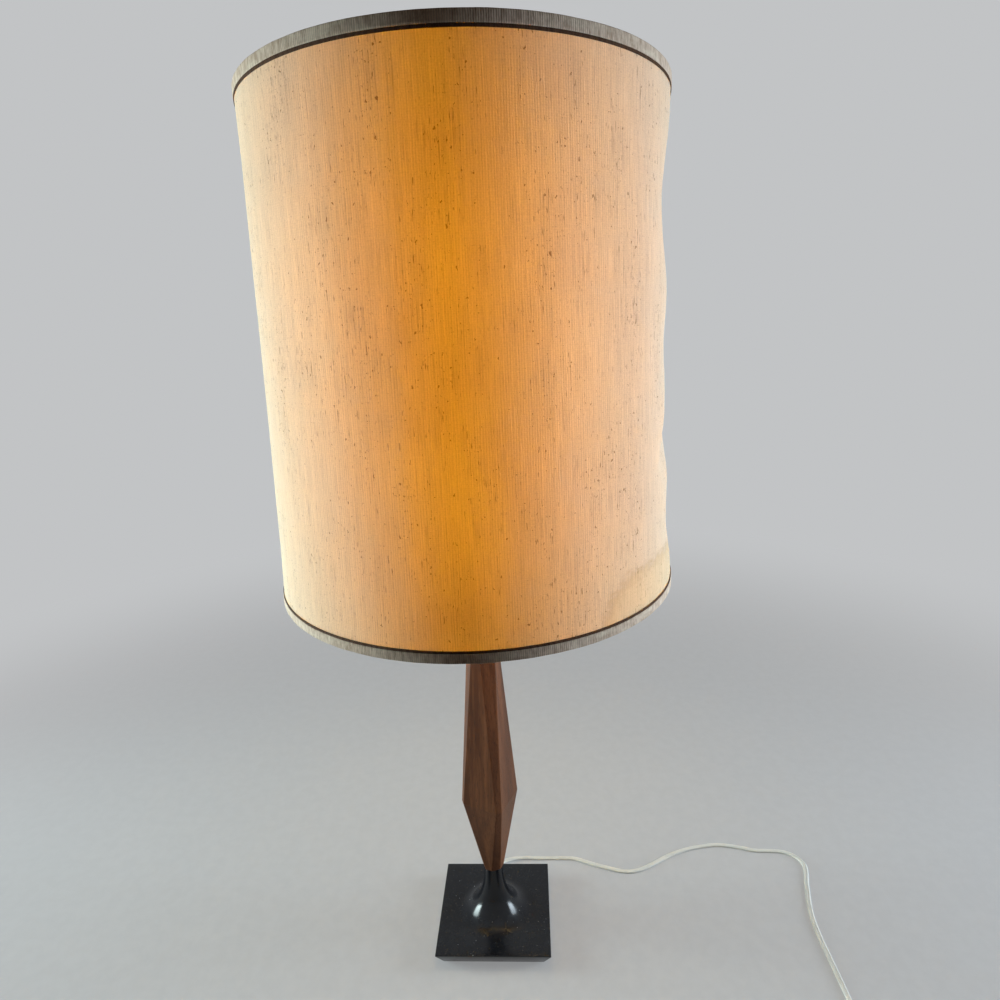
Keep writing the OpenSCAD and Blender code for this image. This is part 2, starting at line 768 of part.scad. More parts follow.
// Tape folded over an edge: outside the fabric, over the edge, and in behind the ring wire
module edge_tape(z_edge, up, depth_in) {
    function wall_r(z) = shade_r(z) + turn_gap;
    inner = shade_r(z_edge) - lining_in - 2 * turn_gap - 2 * ring_wire_r - layer_gap;
    out_end = z_edge - up * tape_h;
    in_end = z_edge - up * depth_in;
    fold = z_edge - up * tape_t;
    color(TAPE)
    rotate_extrude($fn = 180)
    polygon([[wall_r(out_end) + tape_t, out_end], [wall_r(z_edge) + tape_t, z_edge],
        [inner - tape_t, z_edge], [inner - tape_t, in_end], [inner, in_end], [inner, fold],
        [wall_r(fold), fold], [wall_r(out_end), out_end]]);
}

module top_tape() {
    edge_tape(z_shade_top, 1, tape_t + layer_gap + 2 * ring_wire_r - weld);
}

module bottom_tape() {
    edge_tape(z_shade_low, -1, tape_in_low);
}

module ribbon(z0) {
    color(BROWN)
    shade_band(z0, z0 + ribbon_h, turn_gap + ribbon_t, -turn_gap);
}

module top_ribbon() {
    ribbon(z_shade_top - tape_h - turn_gap - ribbon_h);
}

module bottom_ribbon() {
    ribbon(z_shade_low + tape_h + turn_gap);
}

module cord_relief() {
    shank = hole_r - turn_gap;
    color(IVORY)
    translate([0, 0, exit_h]) rotate([-90, 0, 0]) rotate_extrude($fn = 48)
    polygon([[0, hollow_r - relief_flange], [hole_r + 1.6, hollow_r - relief_flange],
        [hole_r + 1.6, hollow_r - 1], [shank, hollow_r - 1], [shank, exit_wall],
        [relief_tip_r, relief_end], [0, relief_end]]);
}

module cord_lead() {
    color(IVORY)
    sweep(LEAD, cord_w / 2, cord_sides, flat);
}

// Section of the wound bundle, grown by a gap: a wide lower layer and a narrower upper one
function coil_section(gap, low) = [
    [coil_r - low_half - gap, low], [coil_r + low_half + gap, low],
    [coil_r + low_half + gap, coil_step + gap], [coil_r + top_half + gap, coil_top + gap],
    [coil_r - top_half - gap, coil_top + gap], [coil_r - low_half - gap, coil_step + gap]];

module cord_coil() {
    color(IVORY)
    translate([coil_at.x, coil_at.y, 0])
    difference() {
        rotate_extrude($fn = 96) polygon(coil_section(0, 0));
        rotate([0, 0, strap_angle])
        translate([coil_r - low_half - cut, -strap_w / 2 - layer_gap, -cut])
        cube([2 * low_half + 2 * cut, strap_w + 2 * layer_gap, strap_t + cut]);
    }
}

module cord_tail() {
    color(IVORY)
    sweep(TAIL, cord_w / 2, cord_sides, flat);
}

module cord_tie() {
    color([0.85, 0.84, 0.80])
    translate([coil_at.x, coil_at.y, 0]) rotate([0, 0, strap_angle])
    rotate([90, 0, 0]) linear_extrude(strap_w, center = true)
    difference() {
        polygon(coil_section(2 * layer_gap + strap_t, 0));
        polygon(coil_section(2 * layer_gap, strap_t));
    }
}

module blade_slabs(grow, low, high) {
    for (s = [-1, 1]) {
        translate([plug_x + 5 - grow, plug_y + s * blade_pitch / 2 - blade_t / 2 - grow, low])
        cube([blade_w + 2 * grow, blade_t + 2 * grow, high - low]);
    }
}

module plug_body() {
    corner = 4;
    z_cord = TAIL[len(TAIL) - 1].z;
    color(IVORY)
    difference() {
        union() {
            translate([plug_x + corner, plug_y - plug_w / 2, 0])
            cube([plug_l - 2 * corner, plug_w, plug_t]);
            translate([plug_x, plug_y - plug_w / 2 + corner, 0])
            cube([plug_l, plug_w - 2 * corner, plug_t]);
            for (x = [corner, plug_l - corner], y = [corner, plug_w - corner]) {
                translate([plug_x + x, plug_y - plug_w / 2 + y, 0])
                cylinder(r = corner, h = plug_t, $fn = 32);
            }
            translate([plug_x + plug_l - eps, plug_y, z_cord]) rotate([0, 90, 0])
            cylinder(r1 = z_cord, r2 = cord_w / 2 + 0.6, h = collar_l + eps, $fn = 32);
        }
        blade_slabs(turn_gap, plug_t - blade_seat, plug_t + cut);
        for (y = [0, plug_w], x = [9:4:plug_l - 8]) {
            translate([plug_x + x, plug_y - plug_w / 2 + y, -cut])
            cylinder(r = 1, h = plug_t + 2 * cut, $fn = 24);
        }
    }
}

module plug_blades() {
    color(BRASS)
    difference() {
        blade_slabs(0, plug_t - blade_seat, plug_t + blade_l);
        translate([plug_x + 5 + blade_w / 2, plug_y, plug_t + blade_l - 4]) rotate([90, 0, 0])
        cylinder(r = 1.5, h = 2 * blade_pitch, center = true, $fn = 24);
    }
}

felt_pad();
base_casting();
base_washer();
base_nut();
lamp_pipe();
wood_body();
wood_ring();
neck_tube();
neck_cap();
harp_saddle();
socket_cap();
socket_shell();
socket_liner();
socket_block();
terminal_screws();
centre_contact();
screw_shell();
switch_knob();
lead_wires();
bulb_cap();
bulb_glass();
bulb_stem();
bulb_filament();
harp();
harp_sleeve_left();
harp_sleeve_right();
finial();
spider_frame();
shade_bottom_ring();
shade_liner();
shade_fabric();
top_tape();
bottom_tape();
top_ribbon();
bottom_ribbon();
cord_relief();
cord_lead();
cord_coil();
cord_tail();
cord_tie();
plug_body();
plug_blades();
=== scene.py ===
"""Looks for the table lamp: its cloth, wood, enamel, lead and lit bulb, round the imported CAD."""

import math

import bmesh
import bpy
import numpy as np
from mathutils import Matrix, Vector, noise


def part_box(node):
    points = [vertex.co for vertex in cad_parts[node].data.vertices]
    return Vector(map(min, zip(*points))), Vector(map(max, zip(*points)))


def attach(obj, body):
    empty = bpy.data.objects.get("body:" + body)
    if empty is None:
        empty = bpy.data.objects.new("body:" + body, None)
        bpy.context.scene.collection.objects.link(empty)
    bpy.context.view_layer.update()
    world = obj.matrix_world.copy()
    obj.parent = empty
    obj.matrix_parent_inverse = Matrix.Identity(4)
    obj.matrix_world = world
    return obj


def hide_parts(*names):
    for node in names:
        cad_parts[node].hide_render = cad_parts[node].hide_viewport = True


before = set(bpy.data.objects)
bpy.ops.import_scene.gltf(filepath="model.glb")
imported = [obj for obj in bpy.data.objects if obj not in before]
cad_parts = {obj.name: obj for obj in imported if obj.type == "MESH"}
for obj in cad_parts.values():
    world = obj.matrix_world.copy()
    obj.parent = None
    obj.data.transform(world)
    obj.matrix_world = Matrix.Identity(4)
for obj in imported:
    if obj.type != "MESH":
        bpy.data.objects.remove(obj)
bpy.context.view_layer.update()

MM = 0.001
scene = bpy.context.scene

# The camera that was fitted to the photograph: place in metres, angles in degrees
CAMERA_AT = (0.0606, -0.6835, 0.7497)
CAMERA_YAW, CAMERA_PITCH, CAMERA_ROLL = -2.86, 15.36, 2.27
SENSOR_WIDTH = 36
FOCAL_PER_WIDTH = 0.665


# ---------------------------------------------------------------- camera
def make_camera():
    """A camera at the photograph's angle, with its yaw, its pitch down and its roll."""
    yaw, pitch, roll = (math.radians(a) for a in (CAMERA_YAW, CAMERA_PITCH, CAMERA_ROLL))
    flat = math.cos(pitch)
    ahead = Vector((math.sin(yaw) * flat, math.cos(yaw) * flat, -math.sin(pitch)))
    level = Vector((math.cos(yaw), -math.sin(yaw), 0))
    down = ahead.cross(level)
    right = level * math.cos(roll) + down * math.sin(roll)
    below = down * math.cos(roll) - level * math.sin(roll)
    data = bpy.data.cameras.new("camera")
    data.sensor_width = SENSOR_WIDTH
    data.lens = SENSOR_WIDTH * FOCAL_PER_WIDTH
    camera = bpy.data.objects.new("camera", data)
    scene.collection.objects.link(camera)
    turn = Matrix([(right[i], -below[i], -ahead[i]) for i in range(3)])
    camera.matrix_world = Matrix.Translation(CAMERA_AT) @ turn.to_4x4()
    scene.camera = camera


make_camera()


# ---------------------------------------------------------------- node materials
MEAN_RADIUS = 0.196  # about the shade's, in metres: turns an angle round it into a distance


class Nodes:
    """A node material under construction. Inputs go by name, or by place as _0, _1."""

    def __init__(self, name):
        self.mat = bpy.data.materials.new(name)
        self.mat.use_nodes = True
        self.tree = self.mat.node_tree
        self.tree.nodes.clear()
        self.out = self.add("OutputMaterial")

    def add(self, kind, props=None, **inputs):
        node = self.tree.nodes.new("ShaderNode" + kind)
        for key, value in (props or {}).items():
            setattr(node, key, value)
        for key, value in inputs.items():
            place = key[1:].isdigit() and key[0] == "_"
            socket = node.inputs[int(key[1:]) if place else key.replace("_", " ")]
            if isinstance(value, bpy.types.NodeSocket):
                self.tree.links.new(value, socket)
            else:
                socket.default_value = value
        return node

    def coords(self, scale=(1, 1, 1)):
        """A place on the lamp in metres, each coordinate times a scale."""
        place = self.add("TexCoord").outputs["Object"]
        return self.add("VectorMath", {"operation": "MULTIPLY"}, _0=place, _1=scale).outputs[0]

    def math(self, operation, a, b=0.0):
        return self.add("Math", {"operation": operation}, _0=a, _1=b).outputs[0]

    def times(self, a, b):
        return self.math("MULTIPLY", a, b)

    def plus(self, a, b):
        return self.math("ADD", a, b)

    def noise(self, vector, scale=1.0, detail=2.0, rough=0.5):
        node = self.add("TexNoise", Vector=vector, Scale=scale, Detail=detail, Roughness=rough)
        return node.outputs[0]

    def ramp(self, value, low, high, to_low=0.0, to_high=1.0):
        """Value from low..high to to_low..to_high, smooth at both ends."""
        node = self.add(
            "MapRange", {"interpolation_type": "SMOOTHSTEP"},
            _0=value, _1=low, _2=high, _3=to_low, _4=to_high,
        )
        return node.outputs[0]

    def mix(self, share, a, b, blend="MIX"):
        node = self.add("Mix", {"data_type": "RGBA", "blend_type": blend}, _0=share)
        for socket, value in ((node.inputs[6], a), (node.inputs[7], b)):
            if isinstance(value, bpy.types.NodeSocket):
                self.tree.links.new(value, socket)
            else:
                socket.default_value = (*value, 1)
        return node.outputs[2]

    def bump(self, height, distance, strength=1.0):
        return self.add("Bump", Height=height, Distance=distance, Strength=strength).outputs[0]

    def shader(self, colour, rough, **inputs):
        """A Principled shader on the output."""
        colour = colour if isinstance(colour, bpy.types.NodeSocket) else (*colour, 1)
        node = self.add("BsdfPrincipled", Base_Color=colour, Roughness=rough, **inputs)
        self.tree.links.new(node.outputs[0], self.out.inputs[0])

    def blend(self, share, a, b):
        """Two shaders on the output, with a share of the second."""
        both = self.add("MixShader", _0=share, _1=a.outputs[0], _2=b.outputs[0])
        self.tree.links.new(both.outputs[0], self.out.inputs[0])

    def thin_sheet(self, share, front, through, normal):
        """A sheet with a colour for light on its face, and one for what shines through."""
        face = self.add("BsdfDiffuse", Color=front, Normal=normal)
        glow = self.add("BsdfTranslucent", Color=through, Normal=normal)
        self.blend(share, face, glow)

    def shade_place(self):
        """Distance round the shade from its front, in metres, and height, as two sockets."""
        place = self.add("SeparateXYZ", Vector=self.add("TexCoord").outputs["Object"])
        back = self.times(place.outputs[1], -1.0)
        turn = self.math("ARCTAN2", place.outputs[0], back)
        return self.times(turn, MEAN_RADIUS), place.outputs[2]

    def join(self, x, y, scale_x, scale_y):
        """A 2-D place from two sockets, each times a scale."""
        node = self.add("CombineXYZ", _0=self.times(x, scale_x), _1=self.times(y, scale_y))
        return node.outputs[0]


def metal(name, bright, dark, rough, streaks=(300, 300, 300), tarnish=0.45):
    """A satin metal with fine scratches and a darker tarnish in patches."""
    n = Nodes(name)
    patches = n.ramp(n.noise(n.coords(), 60, 4, 0.6), 0.42, 0.68)
    grain = n.noise(n.coords(streaks), 4, 3, 0.6)
    colour = n.mix(n.times(patches, tarnish), bright, dark)
    scratched = n.ramp(grain, 0.3, 0.7, rough - 0.05, rough + 0.07)
    polish = n.plus(scratched, n.times(patches, 0.12))
    n.shader(colour, polish, Metallic=1.0, Normal=n.bump(grain, 0.00004, 0.35))
    return n.mat


def plastic(name, colour, dull, rough, coat=0.0):
    """Moulded plastic: faint grime in patches, a fine skin, and a slightly uneven polish."""
    n = Nodes(name)
    grime = n.ramp(n.noise(n.coords(), 55, 5, 0.65), 0.45, 0.75)
    skin = n.noise(n.coords(), 900, 2, 0.5)
    n.shader(
        n.mix(n.times(grime, 0.5), colour, dull),
        n.ramp(grime, 0, 1, rough, rough + 0.12),
        Normal=n.bump(skin, 0.00006, 0.25), Coat_Weight=coat, Coat_Roughness=0.2,
    )
    return n.mat


def walnut():
    """Oiled wood: grain that wanders along the lamp, fine dark lines, and open pores."""
    n = Nodes("walnut_wood")
    wander = n.noise(n.coords((9, 9, 1.6)), 1, 3, 0.5)
    place = n.coords((70, 70, 2.2))
    bent = n.add("VectorMath", {"operation": "ADD"}, _0=place, _1=n.times(wander, 5.0)).outputs[0]
    figure = n.noise(bent, 1, 5, 0.62)
    fine = n.noise(n.coords((900, 900, 14)), 1, 3, 0.6)
    pores = n.ramp(n.noise(n.coords((1500, 1500, 55)), 1, 2, 0.5), 0.60, 0.70)
    broad = n.ramp(n.noise(n.coords((14, 14, 1.2)), 1, 2, 0.5), 0.35, 0.65)
    colour = n.mix(n.ramp(figure, 0.36, 0.62), (0.070, 0.024, 0.0105), (0.168, 0.064, 0.029))
    colour = n.mix(n.times(broad, 0.35), colour, (0.195, 0.080, 0.037))
    colour = n.mix(n.ramp(fine, 0.45, 0.75, 0, 0.5), colour, (0.050, 0.017, 0.008))
    colour = n.mix(n.times(pores, 0.75), colour, (0.022, 0.009, 0.005))
    height = n.math("SUBTRACT", n.times(fine, 0.5), pores)
    polish = n.ramp(figure, 0.3, 0.7, 0.42, 0.55)
    n.shader(colour, polish, Normal=n.bump(height, 0.00014, 0.6), Specular_IOR_Level=0.16)
    return n.mat


def enamel():
    """Black enamel on a casting: slightly wavy, with dust specks and a thin film on top."""
    n = Nodes("black_enamel")
    rubbed = n.ramp(n.noise(n.coords(), 30, 3, 0.5), 0.40, 0.70)
    up = n.add("SeparateXYZ", Vector=n.add("NewGeometry").outputs["Normal"]).outputs[2]
    level = n.ramp(up, 0.30, 0.90)

    def specks(cells_per_metre, share, largest):
        """Round specks of dust: share of the cells hold one, up to largest of a cell across."""
        cells = n.add("TexVoronoi", Vector=n.coords(), Scale=cells_per_metre)
        dice = n.add("SeparateColor", _0=cells.outputs["Color"]).outputs[0]
        size = n.add("MapRange", _0=dice, _1=1 - share, _2=1.0, _3=0.0, _4=largest).outputs[0]
        return n.ramp(n.math("SUBTRACT", size, cells.outputs["Distance"]), 0.0, 0.05)

    coarse, fine = specks(170.0, 0.16, 0.16), specks(420.0, 0.13, 0.22)
    dust = n.times(n.math("MAXIMUM", coarse, n.times(fine, 0.6)), level)
    film = n.times(level, n.ramp(n.noise(n.coords(), 110, 5, 0.7), 0.35, 0.75, 0.010, 0.035))
    colour = n.mix(rubbed, (0.0035, 0.0042, 0.0065), (0.0060, 0.0068, 0.0090))
    colour = n.mix(film, colour, (0.26, 0.29, 0.35))
    colour = n.mix(n.times(dust, 0.75), colour, (0.62, 0.61, 0.60))
    peel = n.noise(n.coords(), 420, 2, 0.5)
    rough = n.plus(n.ramp(rubbed, 0, 1, 0.15, 0.20), n.times(film, 1.6))
    n.shader(colour, rough, Normal=n.bump(peel, 0.00004, 0.30), Specular_IOR_Level=0.34)
    return n.mat


def stain(n, u, z):
    """An old water mark at the shade's lower edge, right of its front: its area, and its rim."""
    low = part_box("shade_fabric")[0].z
    middle, half, tall = 0.205, 0.085, 0.051
    across = n.math("DIVIDE", n.math("SUBTRACT", u, middle), half)
    up = n.math("DIVIDE", n.math("SUBTRACT", z, low), tall)
    boxy = n.math("POWER", n.math("ABSOLUTE", across), 4.0)
    reach = n.math("SQRT", n.plus(boxy, n.math("POWER", up, 2.0)))
    ragged = n.noise(n.join(u, z, 90, 160), 1, 4, 0.6)
    reach = n.plus(reach, n.times(n.math("SUBTRACT", ragged, 0.5), 0.5))
    inside = n.ramp(reach, 0.82, 1.05, 1.0, 0.0)
    rise, fall = n.ramp(reach, 0.70, 0.96), n.ramp(reach, 0.96, 1.12, 1.0, 0.0)
    return inside, n.times(rise, fall)


RIBS_ROUND = 600  # upright ribs in the cloth, all the way round the shade
WEFT_PITCH = 3900.0  # phase of the weft in radians per metre of height


def slub_cloth():
    """Slub cloth of the shade: upright ribs and a finer weft, with dark flecks and pale slubs.
    Daylight on it looks cream, and lamplight that comes through it looks amber. Painted shade
    makes its colour darker in the valleys of the ribs and weft, and lighter on their crests."""
    n = Nodes("slub_fabric")
    u, z = n.shade_place()
    fray = n.noise(n.join(u, z, 210, 12), 1, 3, 0.6)
    rib = n.math("SINE", n.plus(n.times(u, RIBS_ROUND / MEAN_RADIUS), n.times(fray, 6.0)))
    weft = n.math("SINE", n.plus(n.times(z, WEFT_PITCH), n.times(fray, 14.0)))
    grain = n.noise(n.join(u, z, 1100, 520), 1, 3, 0.7)
    yarn = n.noise(n.join(u, z, 1300, 26), 1, 2, 0.6)
    cluster = n.noise(n.join(u, z, 34, 9), 1, 2, 0.5)

    def marks(across, along, low, high, gather=0.20):
        """Irregular marks that gather in places: noise above a threshold, per metre each way."""
        fine = n.noise(n.join(u, z, across, along), 1, 2, 0.55)
        drift = n.times(n.math("SUBTRACT", cluster, 0.5), gather)
        return n.ramp(n.plus(fine, drift), low, high)

    threads = marks(950, 26, 0.60, 0.70)
    streaks = marks(760, 80, 0.665, 0.71)
    knots = marks(340, 210, 0.684, 0.715)
    specks = marks(700, 420, 0.685, 0.725)
    pale = marks(700, 45, 0.62, 0.70, -0.25)
    bands = n.noise(n.join(u, z, 150, 1.6), 1, 4, 0.68)
    broad = n.noise(n.join(u, z, 16, 5), 1, 3, 0.55)
    # Painted shade: the rib and weft waves darken the colour in their valleys and lighten it on
    # their crests. The noises added below are the yarn's own uneven tone.
    weave = n.plus(n.times(rib, 0.052), n.times(weft, 0.018))
    for part, low, high in (
        (grain, -0.08, 0.08), (yarn, -0.08, 0.08), (bands, -0.032, 0.03), (broad, -0.015, 0.025)
    ):
        weave = n.plus(weave, n.ramp(part, 0.28, 0.72, low, high))
    level = n.plus(weave, 0.94)
    dark = knots
    for part, weight in ((streaks, 0.85), (specks, 0.8), (threads, 0.36)):
        dark = n.math("MAXIMUM", dark, n.times(part, weight))
    # The tone carries the painted shade of the ribs and weft into both the daylight and the
    # lamplight colour.
    tone = n.add("CombineColor", _0=level, _1=level, _2=level).outputs[0]
    front = n.mix(1.0, CREAM, tone, "MULTIPLY")
    front = n.mix(n.times(pale, 0.45), front, (0.90, 0.87, 0.74))
    front = n.mix(n.times(dark, 0.78), front, (0.24, 0.145, 0.070))
    through = n.mix(1.0, AMBER, tone, "MULTIPLY")
    through = n.mix(n.times(pale, 0.25), through, (0.92, 0.48, 0.05))
    through = n.mix(n.times(dark, 0.72), through, (0.20, 0.07, 0.008))
    height = n.plus(n.times(rib, 0.16), n.times(weft, 0.06))
    for part, weight in ((pale, 0.7), (dark, 1.3), (grain, 0.7), (bands, 1.0)):
        height = n.plus(height, n.times(part, weight))
    normal = n.bump(height, 0.00018, 0.6)
    inside, tide = stain(n, u, z)
    front = n.mix(n.times(inside, 0.32), front, (0.72, 0.61, 0.33))
    front = n.mix(n.times(tide, 0.22), front, (0.42, 0.29, 0.13))
    through = n.mix(n.times(tide, 0.20), through, (0.50, 0.20, 0.008))
    n.thin_sheet(0.28, front, through, normal)
    return n.mat


def styrene():
    """The white liner behind the cloth: milky, yellowed in places, with faint upright ribs."""
    n = Nodes("liner_styrene")
    u, z = n.shade_place()
    age = n.ramp(n.noise(n.join(u, z, 12, 9), 1, 4, 0.6), 0.3, 0.7)
    ribs = n.noise(n.join(u, z, 600, 30), 1, 2, 0.5)
    colour = n.mix(age, (0.86, 0.81, 0.70), (0.78, 0.70, 0.55))
    n.thin_sheet(0.5, colour, colour, n.bump(ribs, 0.0001, 0.4))
    return n.mat


def woven(name, colour, shade, pitch, flecks=0.5):
    """Narrow woven tape or ribbon round the shade, ribbed across its length, with painted shade
    darkening the valleys between its ribs.
    """
    n = Nodes(name)
    u, z = n.shade_place()
    wobble = n.noise(n.join(u, z, 300, 300), 1, 3, 0.6)
    rib = n.math("SINE", n.plus(n.times(u, 2 * math.pi / pitch), n.times(wobble, 3.0)))
    slub = n.noise(n.join(u, z, 330, 90), 1, 4, 0.7)
    wear = n.noise(n.join(u, z, 40, 120), 1, 4, 0.6)
    tone = n.mix(n.ramp(slub, 0.35, 0.68), colour, shade)
    tone = n.mix(n.ramp(wear, 0.45, 0.75, 0, flecks), tone, [min(1, c * 1.35) for c in colour])
    # Painted shade: the valleys of the ribs, where the bump is lowest, are darkened towards a
    # deeper tone.
    tone = n.mix(n.ramp(rib, -1, 1, 0.28, 0), tone, [c * 0.45 for c in shade])
    height = n.plus(rib, n.times(slub, 1.6))
    n.shader(tone, 0.78, Normal=n.bump(height, 0.00018, 0.6), Specular_IOR_Level=0.12)
    return n.mat


def felt():
    """Dark felt under the base, fuzzy and blotched."""
    n = Nodes("felt_cloth")
    fuzz = n.noise(n.coords(), 1400, 4, 0.8)
    blot = n.noise(n.coords(), 70, 3, 0.6)
    colour = n.mix(n.ramp(fuzz, 0.3, 0.7), (0.018, 0.022, 0.019), (0.050, 0.056, 0.050))
    colour = n.mix(n.ramp(blot, 0.4, 0.7, 0, 0.4), colour, (0.012, 0.014, 0.013))
    n.shader(colour, 0.95, Normal=n.bump(fuzz, 0.0004, 0.8), Sheen_Weight=0.3, Sheen_Roughness=0.6)
    return n.mat


def paper():
    """Brown insulating paper inside the socket."""
    n = Nodes("socket_paper")
    fibre = n.noise(n.coords((900, 900, 300)), 1, 4, 0.7)
    colour = n.mix(n.ramp(fibre, 0.3, 0.7), (0.30, 0.19, 0.11), (0.44, 0.31, 0.19))
    n.shader(colour, 0.85, Normal=n.bump(fibre, 0.00008, 0.5))
    return n.mat


def frosted_glow():
    """The lit bulb: frosted glass whose neck is a little darker than its globe."""
    n = Nodes("bulb_frost")
    z = n.add("SeparateXYZ", Vector=n.add("TexCoord").outputs["Object"]).outputs[2]
    frost = n.noise(n.coords(), 320, 3, 0.6)
    rise = n.ramp(z, BULB_LOW, BULB_LOW + 0.05)
    light = n.mix(rise, (0.95, 0.50, 0.18), (1.0, 0.80, 0.52))
    power = n.times(n.ramp(rise, 0, 1, 0.35, 0.85), n.ramp(frost, 0.2, 0.8, 0.92, 1.06))
    n.shader(
        (0.93, 0.90, 0.84), 0.45, Normal=n.bump(frost, 0.00004, 0.3),
        Emission_Color=light, Emission_Strength=power,
    )
    return n.mat


def clear_glass():
    """The glass stem in the bulb, slightly uneven."""
    n = Nodes("stem_clear")
    uneven = n.noise(n.coords(), 90, 2, 0.5)
    n.shader(
        (0.92, 0.95, 0.94), 0.05, Normal=n.bump(uneven, 0.0002, 0.3),
        Transmission_Weight=0.9, IOR=1.5,
    )
    return n.mat


BULB_LOW, BULB_HIGH = (v.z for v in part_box("bulb_glass"))
CREAM, AMBER = (0.79, 0.77, 0.645), (0.94, 0.475, 0.010)  # the cloth in daylight, and lit through
BRASS = metal("brass_satin", (0.62, 0.43, 0.17), (0.30, 0.17, 0.06), 0.28)
STEEL = metal("steel_zinc", (0.55, 0.55, 0.53), (0.25, 0.24, 0.22), 0.36)
SPUN = metal("cap_metal", (0.78, 0.78, 0.76), (0.42, 0.41, 0.38), 0.22, tarnish=0.3)
TUNGSTEN = metal("filament_metal", (0.30, 0.29, 0.28), (0.12, 0.11, 0.10), 0.5)
BLADE = metal("blade_nickel", (0.66, 0.58, 0.42), (0.38, 0.31, 0.20), 0.24, (200, 2000, 200))
MOULDING = plastic("brown_moulding", (0.030, 0.019, 0.013), (0.060, 0.045, 0.035), 0.28, 0.3)
IVORY = plastic("cord_vinyl", (0.86, 0.85, 0.81), (0.70, 0.67, 0.60), 0.30, 0.25)
CLOTH, LINER = slub_cloth(), styrene()
TAPE = woven("edge_tape_weave", (0.84, 0.665, 0.530), (0.52, 0.360, 0.260), 0.0017)
RIBBON = woven("ribbon_weave", (0.115, 0.056, 0.030), (0.055, 0.025, 0.013), 0.0011, 0.25)
TIE = woven("tie_weave", (0.62, 0.61, 0.58), (0.48, 0.47, 0.44), 0.0011)
WALNUT, ENAMEL, FELT, PAPER = walnut(), enamel(), felt(), paper()
FROST, CLEAR = frosted_glow(), clear_glass()

LOOKS = {
    "felt_pad": FELT, "base_washer": STEEL, "base_nut": STEEL, "lamp_pipe": STEEL,
    "wood_ring": BRASS, "neck_tube": BRASS, "neck_cap": BRASS, "harp_saddle": BRASS,
    "socket_cap": BRASS, "socket_shell": BRASS, "socket_liner": PAPER, "socket_block": MOULDING,
    "terminal_screws": BRASS, "centre_contact": BRASS, "screw_shell": SPUN,
    "switch_knob": MOULDING, "lead_wires": IVORY, "bulb_cap": SPUN, "bulb_glass": FROST,
    "bulb_stem": CLEAR, "bulb_filament": TUNGSTEN, "harp": BRASS, "harp_sleeve_left": BRASS,
    "harp_sleeve_right": BRASS, "finial": BRASS, "spider_frame": STEEL,
    "shade_bottom_ring": STEEL, "cord_tie": TIE, "plug_blades": BLADE,
}
for node, look in LOOKS.items():
    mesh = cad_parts[node].data
    mesh.materials.clear()
    mesh.materials.append(look)


# ---------------------------------------------------------------- mesh helpers
def mesh_piece(name, verts, faces, body, look, replaces=(), sharp=35.0):
    """A smooth piece from points in metres, with creases where it turns by more than sharp."""
    mesh = bpy.data.meshes.new(name)
    mesh.from_pydata([tuple(v) for v in verts], [], faces)
    mesh.polygons.foreach_set("use_smooth", [True] * len(mesh.polygons))
    mesh.set_sharp_from_angle(angle=math.radians(sharp))
    mesh.materials.append(look)
    piece = bpy.data.objects.new(name, mesh)
    scene.collection.objects.link(piece)
    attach(piece, body)
    if replaces:
        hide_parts(*replaces)
    return piece


def loft(rings, caps=True, loop=False):
    """Points and faces of a skin over closed rings of equally many points."""
    n, rows = len(rings[0]), len(rings)
    faces = []
    for k in range(rows if loop else rows - 1):
        a, b = k * n, (k + 1) % rows * n
        faces += [(a + i, a + (i + 1) % n, b + (i + 1) % n, b + i) for i in range(n)]
    if caps and not loop:
        faces += [tuple(range(n))[::-1], tuple(range((rows - 1) * n, rows * n))]
    return [p for ring in rings for p in ring], faces


def circle(radius, z, count):
    """A level ring of points round the lamp's axis."""
    turns = [2 * math.pi * i / count for i in range(count)]
    return [(radius * math.cos(t), radius * math.sin(t), z) for t in turns]


def in_metres(rings):
    """Rings of points in mm, as rings in metres."""
    return [[tuple(c * MM for c in p) for p in ring] for ring in rings]


def cad_points(node):
    """The mesh points of a CAD node, in metres."""
    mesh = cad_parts[node].data
    flat = np.zeros(len(mesh.vertices) * 3, np.float32)
    mesh.vertices.foreach_get("co", flat)
    return flat.reshape(-1, 3).astype(float)


def radius_at(node, z):
    """The CAD node's outer radius at a height where it has points."""
    points = cad_points(node)
    near = points[abs(points[:, 2] - z) < 0.2 * MM]
    return float(np.hypot(near[:, 0], near[:, 1]).max())


def wave(x, y, z=0.0):
    """Smooth seeded noise, about -1 to 1."""
    return noise.noise(Vector((x, y, z)))


# ---------------------------------------------------------------- the lead, its coil and plug
CORD_W, CORD_T = 6 * MM, 3.2 * MM
# The lead's centre line in mm, as in the CAD: from the base to the coil, and from it to the plug
LEAD = [
    (0, 71.46, 9), (0, 74.46, 9), (2, 82, 8.2), (8, 88, 6.9), (16, 93, 5.2), (27, 97, 3.6),
    (40, 99, 2.3), (57, 99, 1.6), (75, 99, 1.6), (91, 99, 1.6), (107, 98, 1.6),
    (121, 93, 1.6), (136, 87, 1.6), (151, 82, 1.6), (167, 77, 1.6), (182, 75, 1.6),
    (196, 78, 1.6), (209, 84, 1.6), (224, 93, 1.6), (239, 102, 1.6), (256, 110, 1.6),
    (273, 116, 1.6), (290, 120, 1.6), (309, 123, 1.6), (327, 122, 1.6), (346, 118, 1.6),
    (364, 113, 1.6), (382, 112, 1.6), (398, 111, 1.6), (412, 106, 1.6), (421, 97, 1.6),
    (424, 85, 1.6), (421, 72, 1.6), (416, 58, 1.6), (411, 42, 1.6), (406, 25, 1.6),
    (402, 8, 1.6), (400, -9, 1.6), (399, -26, 1.6), (399, -43, 1.6), (399, -60, 1.6),
    (399, -78, 1.6), (399, -96, 1.6), (399, -114, 1.7), (399, -132, 2.1), (399, -148, 2.4),
    (399, -158, 2.4),
]
